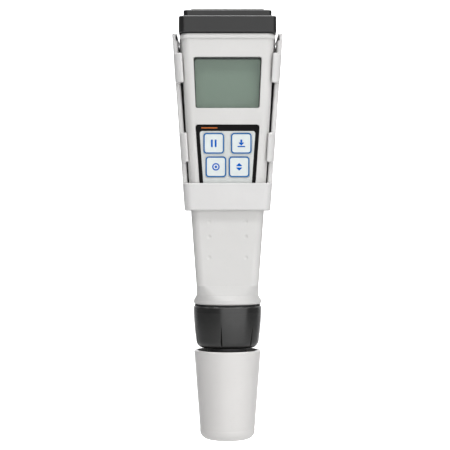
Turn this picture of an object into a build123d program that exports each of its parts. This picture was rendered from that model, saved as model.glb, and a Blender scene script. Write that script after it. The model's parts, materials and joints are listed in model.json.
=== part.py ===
"""pH test pen in its snap-in wall holder, as an assembly of separate pieces.

Frame: millimetres, +Z up, the pen's display and keys face -Y.
Origin: middle of the holder's two wall screws, on the holder's wall face (y = 0).
Heights written as *_H are measured up from the foot of the storage cap, along the pen's own axis.
Depths written as *_DEPTH are measured into the pen, square to its sloping front face.
"""
import os

from build123d import *

os.makedirs("parts", exist_ok=True)

# ---------------------------------------------------------------- driving dimensions
PEN_Y = -19.5              # pen axis, in front of the wall
FOOT_Z = -127.0            # foot of the storage cap, below the middle of the wall screws

WALL = 2.0                 # housing wall
SNUG = 0.1                 # clearance of located pieces

# housing outline
NECK_H, NECK_HALF_W, NECK_HALF_D = 57.5, 12.15, 12.15
MID_H, MID_HALF_W = 112.0, 15.85
TOP_H, TOP_HALF_W, TOP_HALF_D = 162.3, 18.5, 16.8
DEPTH_SLOPE = (TOP_HALF_D - NECK_HALF_D) / (TOP_H - NECK_H)
WIDTH_SLOPE = (TOP_HALF_W - NECK_HALF_W) / (TOP_H - NECK_H)
CORNER_R = 3.3
LIP_LOW_H, LIP_HIGH_H, LIP_PROUD = 160.4, 161.9, 0.55

# round foot ring and threaded nose of the housing
RING_R, RING_LOW_H, RING_HIGH_H = 13.8, 54.8, 56.5
FLARE_H, FLARE_HALF_W, FLARE_CORNER_R, FLARE_TOP_H = 58.4, 12.55, 8.6, 62.5
SEAM = 0.08                # step where the flare meets the tapered body
NOSE_R, NOSE_BORE_R, NOSE_END_H = 11.0, 9.2, 43.7
THREAD_PITCH = 3.0
THREAD_START_H, THREAD_LENGTH = 45.6, 6.0

# window and keys on the front face
FACE_MID_H = 128.0
GLASS_LOW_H, GLASS_HIGH_H = 133.0, 153.1
GLASS_LOW_HALF_W, GLASS_HIGH_HALF_W = 12.6, 13.5
GLASS_DEPTH, GLASS_CORNER_R = 1.1, 0.9
LCD_MID_H, LCD_DEPTH, LCD_PANE_T = 142.9, 3.1, 1.1
LCD_W, LCD_LENGTH = 27.4, 23.6
PAD_LOW_H, PAD_HIGH_H, PAD_LOW_HALF_W, PAD_HIGH_HALF_W = 93.5, 126.5, 10.5, 12.8
PAD_CORNER_R, PAD_THICK, PAD_GAP = 0.9, 0.45, 0.05
KEY_W, KEY_T, KEY_R, KEY_PROUD, KEY_FLANGE = 8.4, 8.4, 1.4, 0.2, 0.3
UPPER_KEY_X, UPPER_KEY_H = 5.45, 119.0
LOWER_KEY_X, LOWER_KEY_H = 4.6, 109.7
POWER_KEY_H, POWER_KEY_T = 98.6, 6.4
KEY_TRAVEL = 0.4
PCB_DEPTH, PCB_THICK = 6.3, 1.6

# battery end
CAP_LOW_H, CAP_STEP1_H, CAP_STEP2_H, CAP_TOP_H = 162.6, 169.25, 171.8, 172.6
CAP_TIERS = (               # width, depth, corner radius, edge radius, low and high height
    (38.7, 35.5, 2.6, 0.45, CAP_LOW_H, CAP_STEP1_H),
    (35.0, 31.7, 1.9, 0.4, CAP_STEP1_H, CAP_STEP2_H),
    (29.6, 26.0, 1.5, 0.3, CAP_STEP2_H, CAP_TOP_H),
)
CAP_SCREW_X, CAP_SCREW_Y = 12.6, 10.8
CELL_R, CELL_T, CELL_X, CELL_Y = 5.8, 5.4, 6.6, 1.2
CELL_LOW_H = 145.9

# collar, electrode and storage cap
COLLAR_LOW_H, COLLAR_HIGH_H, COLLAR_R = 37.2, 54.0, 13.85
COLLAR_BORE_R, COLLAR_SHELF_H = 11.6, 41.0
STEM_R, FLANGE_R, HEAD_R = 8.0, 10.8, 9.05
STEM_TIP_H, HEAD_TOP_H = 14.5, 58.4
SENSOR_X = 4.03
PIN_Y, PIN_PITCH = -3.9, 2.5
SCAP_RIM_H, SCAP_RIM_R = 36.0, 13.55
SCAP_FOOT_H, SCAP_FOOT_R = 4.2, 11.15
SCAP_WALL, SCAP_CUP_R = 1.3, 8.6

# holder
RAIL_TOP_H, BAND_LOW_H, BAND_HIGH_H = 163.2, 92.5, 103.3
PLATE_STEP_H, PLATE_TOP_H, PLATE_THIN = 160.0, 166.6, 1.4
HOLDER_TOP_HALF_W, HOLDER_LOW_HALF_W, HOLDER_WALL = 22.15, 17.05, 2.0
HOLDER_GAP = 0.4
SCREW_SPACING, SCREW_R = 40.0, 2.1
LOWER_LIPS_H, UPPER_LIPS_H = (111.7, 123.3), (143.1, 154.7)
LIP_TIP_LOW, LIP_TIP_HIGH = 15.4, 18.0   # half of the gap between lips, bottom and top
LIP_TIP_SLOPE = (LIP_TIP_HIGH - LIP_TIP_LOW) / (UPPER_LIPS_H[1] - LOWER_LIPS_H[0])

# ---------------------------------------------------------------- drawing planes
PEN = Plane(origin=(0, PEN_Y, FOOT_Z))
PEN_AXIS = Axis((0, PEN_Y, FOOT_Z), (0, 0, 1))
FRONT = Plane(origin=PEN.origin, x_dir=(1, 0, 0), z_dir=(0, -1, 0))   # x right, y up
SIDE = Plane(origin=PEN.origin, x_dir=(0, 1, 0), z_dir=(1, 0, 0))     # x to the wall, y up
WALL_VIEW = Plane(origin=(0, 0, 0), x_dir=(1, 0, 0), z_dir=(0, -1, 0))   # on the wall, x right, y up


def half_depth(height):
    """Half of the housing's front-to-back size at a height above the foot."""
    return NECK_HALF_D + DEPTH_SLOPE * (height - NECK_H)


# the sloping front face: x right, y up the face from FACE_MID_H, z out of the face
FACE = Plane(
    origin=(0, PEN_Y - half_depth(FACE_MID_H), FOOT_Z + FACE_MID_H),
    x_dir=(1, 0, 0),
    z_dir=(0, -1, -DEPTH_SLOPE),
)


def into_face(depth):
    """A drawing plane parallel to the front face, a depth inside it, looking inward."""
    return FACE.offset(-depth)


def up_face(height):
    """Position up the face of a height above the foot."""
    return height - FACE_MID_H


def tapered_block(inset, low_h, high_h, corner_r):
    """The housing's tapered outline pulled in by inset on all four sides."""
    spread = WIDTH_SLOPE * (high_h - low_h)
    bulge = MID_HALF_W - (NECK_HALF_W + WIDTH_SLOPE * (MID_H - NECK_H))
    low_w = NECK_HALF_W + WIDTH_SLOPE * (low_h - NECK_H) - inset
    with BuildPart() as block:
        with BuildSketch(FRONT):
            with BuildLine():
                right = ThreePointArc(
                    (low_w, low_h),
                    (low_w + spread / 2 + bulge, (low_h + high_h) / 2),
                    (low_w + spread, high_h),
                )
                left = ThreePointArc(
                    (-low_w, low_h),
                    (-low_w - spread / 2 - bulge, (low_h + high_h) / 2),
                    (-low_w - spread, high_h),
                )
                Line(right @ 0, left @ 0)
                Line(right @ 1, left @ 1)
            make_face()
        extrude(amount=30, both=True)
        with BuildSketch(SIDE):
            with BuildLine():
                low_d, high_d = half_depth(low_h) - inset, half_depth(high_h) - inset
                Polyline((-low_d, low_h), (low_d, low_h), (high_d, high_h), (-high_d, high_h),
                         close=True)
            make_face()
        extrude(amount=30, both=True, mode=Mode.INTERSECT)
        fillet(block.edges().filter_by(lambda e: e.length > (high_h - low_h) * 0.9), corner_r)
    return block.part


def ring_profile(inner_r, outer_r, low_h, high_h):
    """Half section of a plain ring about the pen axis, drawn on SIDE."""
    with Locations(((inner_r + outer_r) / 2, (low_h + high_h) / 2)):
        Rectangle(outer_r - inner_r, high_h - low_h)


def face_trapezoid(low_w, low_h, high_w, high_h, corner_r):
    """Outline for a face plane, from half widths at two heights, with rounded corners."""
    low_y, high_y = up_face(low_h), up_face(high_h)
    with BuildSketch() as outline:
        Polygon((-low_w, low_y), (low_w, low_y), (high_w, high_y), (-high_w, high_y), align=None)
        fillet(outline.vertices(), corner_r)
    return outline.sketch


def is_opening_rim(edge):
    """True for the edges of the display opening on the outside of the front face."""
    at = FACE.to_local_coords(edge.center())
    in_reach = up_face(GLASS_LOW_H) - 0.5 < at.Y < up_face(GLASS_HIGH_H) + 0.5
    return abs(at.Z) < 0.01 and abs(at.X) < GLASS_HIGH_HALF_W + 0.5 and in_reach


# middles of the keys on the front face: four function keys, then the power key
KEY_POINTS = [
    (-UPPER_KEY_X, up_face(UPPER_KEY_H)), (UPPER_KEY_X, up_face(UPPER_KEY_H)),
    (-LOWER_KEY_X, up_face(LOWER_KEY_H)), (LOWER_KEY_X, up_face(LOWER_KEY_H)),
    (0, up_face(POWER_KEY_H)),
]


def finish_piece(builder, name):
    """Label a finished piece and write its STEP file."""
    builder.part.label = name
    export_step(builder.part, f"parts/{name}.step")


# ---------------------------------------------------------------- housing
opening_outline = face_trapezoid(GLASS_LOW_HALF_W, GLASS_LOW_H, GLASS_HIGH_HALF_W, GLASS_HIGH_H,
                                 GLASS_CORNER_R)
pane_outline = face_trapezoid(GLASS_LOW_HALF_W - SNUG, GLASS_LOW_H + SNUG, GLASS_HIGH_HALF_W - SNUG,
                              GLASS_HIGH_H - SNUG, GLASS_CORNER_R - SNUG)
seat_outline = face_trapezoid(PAD_LOW_HALF_W, PAD_LOW_H, PAD_HIGH_HALF_W, PAD_HIGH_H, PAD_CORNER_R)
sheet_outline = face_trapezoid(PAD_LOW_HALF_W - PAD_GAP, PAD_LOW_H + PAD_GAP, PAD_HIGH_HALF_W - PAD_GAP,
                               PAD_HIGH_H - PAD_GAP, PAD_CORNER_R - PAD_GAP)
outer_body = tapered_block(0, FLARE_TOP_H, TOP_H, CORNER_R)
inner_cavity = tapered_block(WALL, 60.0, TOP_H + 1, CORNER_R - WALL)
neck_half_w = NECK_HALF_W + WIDTH_SLOPE * (FLARE_TOP_H - NECK_H)

with BuildPart() as housing:
    # the tapered body flares out into the round foot ring
    with BuildSketch(PEN.offset(RING_HIGH_H - 0.3)):
        RectangleRounded(2 * RING_R - 0.1, 2 * RING_R - 0.1, RING_R - 0.1)
    with BuildSketch(PEN.offset(FLARE_H)):
        RectangleRounded(2 * FLARE_HALF_W, 2 * FLARE_HALF_W, FLARE_CORNER_R)
    # its top ends just inside the tapered body
    with BuildSketch(PEN.offset(FLARE_TOP_H + 0.5)):
        RectangleRounded(2 * (neck_half_w - SEAM), 2 * (half_depth(FLARE_TOP_H) - SEAM), CORNER_R)
    loft(ruled=True)
    add(outer_body)
    with BuildSketch(SIDE):
        with BuildLine():
            Polyline((0, RING_LOW_H), (RING_R - 0.5, RING_LOW_H), (RING_R, RING_LOW_H + 0.5),
                     (RING_R, RING_HIGH_H), (0, RING_HIGH_H), close=True)
        make_face()
        ring_profile(0, NOSE_R, NOSE_END_H, RING_LOW_H)
    revolve(axis=PEN_AXIS)
    with BuildLine():
        nose_helix = Helix(pitch=THREAD_PITCH, height=THREAD_LENGTH, radius=NOSE_R - 0.1,
                           center=PEN.offset(THREAD_START_H).origin)
    with BuildSketch(Plane(origin=nose_helix @ 0, x_dir=(1, 0, 0), z_dir=nose_helix % 0)):
        Trapezoid(2.2, 0.9, 60, rotation=-90)
    sweep(path=nose_helix, is_frenet=True)
    # lip bead under the battery cap
    with BuildSketch(PEN.offset(LIP_LOW_H)):
        RectangleRounded(2 * (TOP_HALF_W + LIP_PROUD), 2 * (TOP_HALF_D + LIP_PROUD - 0.1), CORNER_R + 0.3)
    lip = extrude(amount=LIP_HIGH_H - LIP_LOW_H)
    fillet(lip.edges().group_by(Axis.Z)[-1] + lip.edges().group_by(Axis.Z)[0], 0.3)
    add(inner_cavity, mode=Mode.SUBTRACT)
    with BuildSketch(SIDE):
        ring_profile(0, NOSE_BORE_R, NOSE_END_H - 1, 61)
    revolve(axis=PEN_AXIS, mode=Mode.SUBTRACT)
    # screw bosses in the mouth
    with BuildSketch(PEN.offset(TOP_H)):
        with GridLocations(2 * CAP_SCREW_X, 2 * CAP_SCREW_Y, 2, 2):
            Circle(2.1)
        with GridLocations(2 * (CAP_SCREW_X + 2), 2 * CAP_SCREW_Y, 2, 2):
            Rectangle(4, 4.2)
    extrude(amount=-6.5)
    with BuildSketch(PEN.offset(TOP_H)):
        with GridLocations(2 * CAP_SCREW_X, 2 * CAP_SCREW_Y, 2, 2):
            Circle(1.05)
    extrude(amount=-5.5, mode=Mode.SUBTRACT)
    # display opening with a softened edge
    with BuildSketch(FACE):
        add(opening_outline)
    extrude(amount=-WALL - 1, mode=Mode.SUBTRACT)
    fillet(housing.edges().filter_by(is_opening_rim), 0.3)
    # seat of the membrane, then one hole for each key
    with BuildSketch(FACE):
        add(seat_outline)
    extrude(amount=-PAD_THICK, mode=Mode.SUBTRACT)
    with BuildSketch(FACE):
        with Locations(*KEY_POINTS[:4]):
            RectangleRounded(KEY_W + 2 * SNUG, KEY_T + 2 * SNUG, KEY_R)
        with Locations(KEY_POINTS[4]):
            RectangleRounded(KEY_W + 2 * SNUG, POWER_KEY_T + 2 * SNUG, KEY_R)
    extrude(amount=-WALL - 1, mode=Mode.SUBTRACT)
finish_piece(housing, "housing")

# ---------------------------------------------------------------- display
RIM_DEPTH, RIM_T, RIM_MARGIN = WALL + 0.1, 0.75, 0.6
with BuildPart() as lcd_window:
    with BuildSketch(into_face(GLASS_DEPTH)):
        add(pane_outline)
    extrude(amount=-(RIM_DEPTH + 0.05 - GLASS_DEPTH))
    # rim bonded behind the wall
    with BuildSketch(into_face(RIM_DEPTH)):
        with Locations((0, up_face((GLASS_LOW_H + GLASS_HIGH_H) / 2))):
            Rectangle(2 * (GLASS_HIGH_HALF_W + RIM_MARGIN), GLASS_HIGH_H - GLASS_LOW_H + 4 * RIM_MARGIN)
    extrude(amount=-RIM_T)
finish_piece(lcd_window, "lcd_window")

with BuildPart() as lcd_glass:
    # front pane, then the shorter back pane
    with BuildSketch(into_face(LCD_DEPTH)):
        with Locations((0, up_face(LCD_MID_H))):
            Rectangle(LCD_W, LCD_LENGTH)
    extrude(amount=-LCD_PANE_T)
    with BuildSketch(into_face(LCD_DEPTH + LCD_PANE_T)):
        with Locations((0, up_face(LCD_MID_H))):
            Rectangle(LCD_W, LCD_LENGTH - 1.2)
    extrude(amount=-LCD_PANE_T)
finish_piece(lcd_glass, "lcd_glass")

BEZEL_DEPTH, BEZEL_T, FRAME_WALL = 2.9, 0.15, 0.6
bezel_outline = face_trapezoid(GLASS_LOW_HALF_W - 0.25, GLASS_LOW_H + 0.1, GLASS_HIGH_HALF_W - 0.4,
                               GLASS_HIGH_H - 0.8, GLASS_CORNER_R)
with BuildPart() as lcd_frame:
    # thin black bezel in front of the glass
    with BuildSketch(into_face(BEZEL_DEPTH)):
        with Locations((0, up_face(LCD_MID_H))):
            Rectangle(LCD_W + 2 * (SNUG + FRAME_WALL), LCD_LENGTH + 2 * (SNUG + FRAME_WALL))
        add(bezel_outline, mode=Mode.SUBTRACT)
    extrude(amount=-BEZEL_T)
    # side walls down to the circuit board
    with BuildSketch(into_face(BEZEL_DEPTH + BEZEL_T)):
        with Locations((0, up_face(LCD_MID_H))):
            Rectangle(LCD_W + 2 * (SNUG + FRAME_WALL), LCD_LENGTH + 2 * (SNUG + FRAME_WALL))
            Rectangle(LCD_W + 2 * SNUG, LCD_LENGTH + 2 * SNUG, mode=Mode.SUBTRACT)
    extrude(amount=-(PCB_DEPTH - SNUG - BEZEL_DEPTH - BEZEL_T))
finish_piece(lcd_frame, "lcd_frame")

with BuildPart() as zebra_strips:
    with BuildSketch(into_face(5.35)):
        with Locations((0, up_face(LCD_MID_H - 10.0)), (0, up_face(LCD_MID_H + 10.0))):
            Rectangle(25.0, 1.8)
    extrude(amount=-(PCB_DEPTH - 5.4))
finish_piece(zebra_strips, "zebra_strips")

# ---------------------------------------------------------------- membrane and keys
with BuildPart() as keypad_overlay:
    with BuildSketch(into_face(PAD_THICK)):
        add(sheet_outline)
        with Locations(*KEY_POINTS[:4]):
            RectangleRounded(KEY_W + 2 * SNUG, KEY_T + 2 * SNUG, KEY_R, mode=Mode.SUBTRACT)
        with Locations(KEY_POINTS[4]):
            RectangleRounded(KEY_W + 2 * SNUG, POWER_KEY_T + 2 * SNUG, KEY_R, mode=Mode.SUBTRACT)
    extrude(amount=PAD_THICK)
finish_piece(keypad_overlay, "keypad_overlay")

KEY_FLANGE_DEPTH, KEY_STEM_DEPTH = 2.15, 4.3
KEY_NAMES = ("hold_key", "store_key", "cal_key", "scroll_key", "power_key")
for key_name, key_point in zip(KEY_NAMES, KEY_POINTS):
    key_t = POWER_KEY_T if key_name == "power_key" else KEY_T
    with BuildPart() as key:
        with BuildSketch(into_face(-KEY_PROUD)):
            with Locations(key_point):
                RectangleRounded(KEY_W, key_t, KEY_R - SNUG)
        cap = extrude(amount=-(KEY_FLANGE_DEPTH + KEY_PROUD + 0.4))
        fillet(cap.faces().sort_by(Axis.Y)[0].edges(), 0.15)
        with BuildSketch(into_face(KEY_FLANGE_DEPTH)):
            with Locations(key_point):
                Rectangle(KEY_W + 2 * KEY_FLANGE, key_t + 2 * KEY_FLANGE)
        extrude(amount=-0.8)
        with BuildSketch(into_face(KEY_FLANGE_DEPTH)):
            with Locations(key_point):
                Circle(1.7)
        extrude(amount=-(KEY_STEM_DEPTH - KEY_FLANGE_DEPTH))
    finish_piece(key, key_name)

with BuildPart() as key_mat:
    with BuildSketch(into_face(3.5)):
        with Locations((0, up_face(109.6))):
            Rectangle(20.4, 29.4)
        with Locations(*KEY_POINTS):
            Circle(2.1, mode=Mode.SUBTRACT)
    extrude(amount=-0.6)
finish_piece(key_mat, "key_mat")

with BuildPart() as tact_switches:
    with BuildSketch(into_face(4.9)):
        with Locations(*KEY_POINTS):
            RectangleRounded(4.5, 4.5, 0.4)
    extrude(amount=-(PCB_DEPTH - 4.9))
    with BuildSketch(into_face(4.75)):
        with Locations(*KEY_POINTS):
            Circle(1.0)
    extrude(amount=-0.3)
finish_piece(tact_switches, "tact_switches")

# ---------------------------------------------------------------- circuit board and inner frame
BOARD_SCREWS = [(-9.2, up_face(127.2)), (9.2, up_face(127.2)), (-8.2, up_face(95.4)), (8.2, up_face(95.4))]
with BuildPart() as main_pcb:
    with BuildSketch(into_face(PCB_DEPTH)):
        with Locations((0, up_face(142.4))):
            Rectangle(27.6, 25.6)
        with Locations((0, up_face(111.0))):
            Rectangle(21.8, 37.4)
        with Locations((0, up_face(78.0))):
            Rectangle(12.8, 29.0)
        with Locations(*BOARD_SCREWS):
            Circle(1.0, mode=Mode.SUBTRACT)
    extrude(amount=-PCB_THICK)
finish_piece(main_pcb, "main_pcb")

BOARD_BACK = PCB_DEPTH + PCB_THICK
with BuildPart() as board_components:
    with BuildSketch(into_face(BOARD_BACK)):
        with Locations((0, up_face(117.0))):
            Rectangle(7.0, 7.0)
        with Locations((-5.4, up_face(106.0)), (5.4, up_face(106.0))):
            Rectangle(4.0, 5.0)
        with Locations((0, up_face(86.0))):
            Rectangle(5.0, 4.0)
    extrude(amount=-1.3)
    with BuildSketch(into_face(BOARD_BACK)):
        with Locations((-8.0, up_face(116.0)), (8.0, up_face(116.0)), (0, up_face(99.0))):
            Circle(1.5)
    extrude(amount=-2.6)
finish_piece(board_components, "board_components")

with BuildPart() as board_screws:
    with BuildSketch(into_face(PCB_DEPTH - 1.1)):
        with Locations(*BOARD_SCREWS):
            Circle(1.6)
    extrude(amount=-1.1)
    with BuildSketch(into_face(PCB_DEPTH - 1.1)):
        with Locations(*BOARD_SCREWS):
            Rectangle(1.8, 0.5)
            Rectangle(0.5, 1.8)
    extrude(amount=-0.6, mode=Mode.SUBTRACT)
    with BuildSketch(into_face(PCB_DEPTH)):
        with Locations(*BOARD_SCREWS):
            Circle(0.8)
    extrude(amount=-5.0)
finish_piece(board_screws, "board_screws")

SPINE_DEPTH = 12.0
with BuildPart() as chassis:
    with BuildSketch(into_face(SPINE_DEPTH)):
        with BuildLine():
            Polyline((-9.4, up_face(70)), (9.4, up_face(70)), (12.6, up_face(128)), (13.4, up_face(141)),
                     (-13.4, up_face(141)), (-12.6, up_face(128)), close=True)
        make_face()
    extrude(amount=-1.4)
    with BuildSketch(into_face(BOARD_BACK)):
        with Locations(*BOARD_SCREWS):
            Circle(2.2)
    extrude(amount=-(SPINE_DEPTH - BOARD_BACK + 0.7))
    # long edge ribs that run in the housing's corners
    with BuildSketch(into_face(SPINE_DEPTH)):
        for side in (-1, 1):
            with BuildLine():
                Polyline((side * 8.2, up_face(70)), (side * 9.4, up_face(70)), (side * 12.6, up_face(128)),
                         (side * 13.4, up_face(141)), (side * 12.2, up_face(141)),
                         (side * 11.4, up_face(128)), close=True)
            make_face()
    extrude(amount=-5.0)
    with BuildSketch(into_face(BOARD_BACK)):
        with Locations(*BOARD_SCREWS):
            Circle(0.85)
    extrude(amount=-5.4, mode=Mode.SUBTRACT)
finish_piece(chassis, "chassis")

# ---------------------------------------------------------------- batteries
BAY_LOW_H, BAY_HIGH_H = 143.6, 157.4
with BuildPart() as battery_holder:
    with BuildSketch(PEN.offset(BAY_LOW_H)):
        with Locations((0, CELL_Y)):
            RectangleRounded(2 * (CELL_X + CELL_R + 1.0), 2 * (CELL_R + 1.1), 2.0)
    extrude(amount=BAY_HIGH_H - BAY_LOW_H)
    with BuildSketch(PEN.offset(CELL_LOW_H - 0.4)):
        with Locations((-CELL_X, CELL_Y), (CELL_X, CELL_Y)):
            Circle(CELL_R + 0.2)
    extrude(amount=BAY_HIGH_H, mode=Mode.SUBTRACT)
finish_piece(battery_holder, "battery_holder")

with BuildPart() as battery_contacts:
    with BuildSketch(PEN.offset(CELL_LOW_H - 0.35)):
        with Locations((-CELL_X, CELL_Y), (CELL_X, CELL_Y)):
            Circle(4.2)
    extrude(amount=0.3)
finish_piece(battery_contacts, "battery_contacts")

with BuildPart() as button_cells:
    for cell in range(2):
        low = CELL_LOW_H + cell * (CELL_T + 0.05)
        with BuildSketch(PEN.offset(low)):
            with Locations((-CELL_X, CELL_Y), (CELL_X, CELL_Y)):
                Circle(CELL_R)
        extrude(amount=CELL_T - 0.5)
        with BuildSketch(PEN.offset(low + CELL_T - 0.5)):
            with Locations((-CELL_X, CELL_Y), (CELL_X, CELL_Y)):
                Circle(CELL_R - 1.0)
        extrude(amount=0.5)
finish_piece(button_cells, "button_cells")

with BuildPart() as cap_gasket:
    with BuildSketch(PEN.offset(TOP_H + 0.02)):
        RectangleRounded(2 * TOP_HALF_W - 0.4, 2 * TOP_HALF_D - 0.4, CORNER_R)
        RectangleRounded(2 * (TOP_HALF_W - WALL), 2 * (TOP_HALF_D - WALL), 1.7, mode=Mode.SUBTRACT)
    extrude(amount=0.24)
finish_piece(cap_gasket, "cap_gasket")

with BuildPart() as battery_cap:
    for width, depth, corner_r, edge_r, low, high in CAP_TIERS:
        with BuildSketch(PEN.offset(low)):
            RectangleRounded(width, depth, corner_r)
        tier = extrude(amount=high - low)
        fillet(tier.edges().group_by(Axis.Z)[-1], edge_r)
        if low == CAP_LOW_H:
            fillet(battery_cap.edges().group_by(Axis.Z)[0], edge_r)
    # plug that drops between the screw bosses
    with BuildSketch(PEN.offset(CAP_LOW_H)):
        Rectangle(2 * 16.0, 2 * 8.2)
        Rectangle(2 * 9.9, 2 * 14.2)
    extrude(amount=-4.3)
    with BuildSketch(PEN.offset(CAP_LOW_H - 4.3)):
        Rectangle(2 * 14.6, 2 * 6.8)
        Rectangle(2 * 8.5, 2 * 12.8)
    extrude(amount=9.0, mode=Mode.SUBTRACT)
    with BuildSketch(PEN.offset(CAP_TOP_H)):
        with GridLocations(2 * CAP_SCREW_X, 2 * CAP_SCREW_Y, 2, 2):
            Circle(1.85)
    extrude(amount=-3.6, mode=Mode.SUBTRACT)
    with BuildSketch(PEN.offset(CAP_TOP_H)):
        with GridLocations(2 * CAP_SCREW_X, 2 * CAP_SCREW_Y, 2, 2):
            Circle(1.15)
    extrude(amount=-CAP_TOP_H + CAP_LOW_H, mode=Mode.SUBTRACT)
finish_piece(battery_cap, "battery_cap")

with BuildPart() as cap_screws:
    with BuildSketch(PEN.offset(CAP_TOP_H - 3.55)):
        with GridLocations(2 * CAP_SCREW_X, 2 * CAP_SCREW_Y, 2, 2):
            Circle(1.7)
    extrude(amount=1.3)
    with BuildSketch(PEN.offset(CAP_TOP_H - 2.25)):
        with GridLocations(2 * CAP_SCREW_X, 2 * CAP_SCREW_Y, 2, 2):
            Rectangle(2.0, 0.55)
            Rectangle(0.55, 2.0)
    extrude(amount=-0.8, mode=Mode.SUBTRACT)
    with BuildSketch(PEN.offset(CAP_TOP_H - 3.55)):
        with GridLocations(2 * CAP_SCREW_X, 2 * CAP_SCREW_Y, 2, 2):
            Circle(1.0)
    extrude(amount=-11.5)
finish_piece(cap_screws, "cap_screws")

with BuildPart() as battery_link:
    # plate in the cap that joins the tops of both cell stacks
    with BuildSketch(PEN.offset(BAY_HIGH_H + 5.0)):
        with Locations((0, CELL_Y)):
            Rectangle(22.0, 9.0)
    extrude(amount=0.4)
    with BuildSketch(PEN.offset(CELL_LOW_H + 2 * CELL_T + 0.1)):
        with Locations((-CELL_X, CELL_Y), (CELL_X, CELL_Y)):
            Circle(2.4)
    extrude(amount=BAY_HIGH_H + 5.0 - (CELL_LOW_H + 2 * CELL_T + 0.1))
finish_piece(battery_link, "battery_link")

with BuildPart() as foot_gasket:
    # flat black ring under the housing's foot, above the collar
    with BuildSketch(SIDE):
        ring_profile(NOSE_R + 0.05, RING_R - 0.55, COLLAR_HIGH_H + SNUG, RING_LOW_H - 0.02)
    revolve(axis=PEN_AXIS)
finish_piece(foot_gasket, "foot_gasket")

# ---------------------------------------------------------------- electrode socket in the nose
PIN_POINTS = [(PIN_PITCH * place, PIN_Y) for place in (-2, -1, 0, 1, 2)]
with BuildPart() as electrode_socket:
    with BuildSketch(PEN.offset(59.0)):
        Circle(NOSE_BORE_R - SNUG)
    extrude(amount=3.2)
    with BuildSketch(PEN.offset(62.2)):
        with Locations((0, PIN_Y + 2.1)):
            Rectangle(13.6, 5.2)
    extrude(amount=5.0)
    with BuildSketch(PEN.offset(59.0)):
        with Locations(*PIN_POINTS):
            Circle(0.5)
    extrude(amount=8.2, mode=Mode.SUBTRACT)
finish_piece(electrode_socket, "electrode_socket")

with BuildPart() as socket_pins:
    with BuildSketch(PEN.offset(53.6)):
        with Locations(*PIN_POINTS):
            Circle(0.4)
    pins = extrude(amount=15.4)
    chamfer(pins.faces().sort_by(Axis.Z)[:5].edges(), 0.15)
finish_piece(socket_pins, "socket_pins")

# ---------------------------------------------------------------- electrode
with BuildPart() as electrode_body:
    with BuildSketch(SIDE):
        with BuildLine():
            Polyline((5.2, STEM_TIP_H), (6.4, STEM_TIP_H), (6.4, 21.6), (STEM_R, 23.6), (STEM_R, 26.3),
                     (6.7, 26.3), (6.7, 28.7), (STEM_R, 28.7), (STEM_R, COLLAR_SHELF_H + 0.5),
                     (FLANGE_R, COLLAR_SHELF_H + 0.5), (FLANGE_R, NOSE_END_H - 0.3),
                     (HEAD_R, NOSE_END_H - 0.3), (HEAD_R, 49.9), (7.2, 49.9), (7.2, 52.2), (HEAD_R, 52.2),
                     (HEAD_R, HEAD_TOP_H - 0.6), (HEAD_R - 0.6, HEAD_TOP_H), (0, HEAD_TOP_H), (0, 48.0),
                     (5.2, 48.0), (5.2, 23.4), (2.85, 22.6), (2.85, 20.4), (5.2, 20.4), close=True)
        make_face()
    revolve(axis=PEN_AXIS)
    # contact wells in the head
    with BuildSketch(PEN.offset(HEAD_TOP_H)):
        with Locations(*PIN_POINTS):
            Circle(1.0)
    extrude(amount=-6.6, mode=Mode.SUBTRACT)
    # slots in the bulb guard
    with BuildSketch(PEN.offset(STEM_TIP_H)):
        for turn in (0, 60, 120):
            Rectangle(16, 3.4, rotation=turn)
    extrude(amount=4.4, mode=Mode.SUBTRACT)
    # holes in the floor of the guard
    with BuildSketch(PEN.offset(19.0)):
        with Locations((-SENSOR_X, 0), (SENSOR_X, 0)):
            Circle(0.95)
    extrude(amount=6.0, mode=Mode.SUBTRACT)
finish_piece(electrode_body, "electrode_body")

with BuildPart() as reference_junction:
    with BuildSketch(PEN.offset(20.3)):
        with Locations((-SENSOR_X, 0)):
            Circle(0.88)
    extrude(amount=3.4)
finish_piece(reference_junction, "reference_junction")

with BuildPart() as temperature_sensor:
    with BuildSketch(PEN.offset(16.8)):
        with Locations((SENSOR_X, 0)):
            Circle(0.88)
    probe = extrude(amount=8.4)
    fillet(probe.edges().group_by(Axis.Z)[0], 0.5)
finish_piece(temperature_sensor, "temperature_sensor")

with BuildPart() as electrode_contacts:
    with BuildSketch(PEN.offset(HEAD_TOP_H - 6.5)):
        with Locations(*PIN_POINTS):
            Circle(0.95)
            Circle(0.65, mode=Mode.SUBTRACT)
    extrude(amount=6.4)
finish_piece(electrode_contacts, "electrode_contacts")

with BuildPart() as glass_stem:
    with BuildSketch(SIDE):
        ring_profile(2.0, 2.75, 20.2, 47.6)
    revolve(axis=PEN_AXIS)
finish_piece(glass_stem, "glass_stem")

BULB_H, BULB_R = 18.3, 3.0
with BuildPart() as glass_bulb:
    with BuildSketch(SIDE):
        with BuildLine():
            outer = CenterArc((0, BULB_H), BULB_R, -90, 125)
            inner = CenterArc((0, BULB_H), BULB_R - 0.5, -90, 125)
            Line(outer @ 0, inner @ 0)
            Line(outer @ 1, inner @ 1)
        make_face()
    revolve(axis=PEN_AXIS)
finish_piece(glass_bulb, "glass_bulb")

with BuildPart() as silver_wires:
    with BuildSketch(PEN.offset(17.0)):
        Circle(0.35)
    extrude(amount=30.6)
    with BuildSketch(PEN.offset(26.0)):
        with Locations((0, SENSOR_X)):
            Circle(0.35)
    extrude(amount=21.6)
finish_piece(silver_wires, "silver_wires")

with BuildPart() as electrode_o_ring:
    with BuildSketch(SIDE):
        with Locations((8.15, 51.05)):
            Circle(0.93)
    revolve(axis=PEN_AXIS)
finish_piece(electrode_o_ring, "electrode_o_ring")

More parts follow.
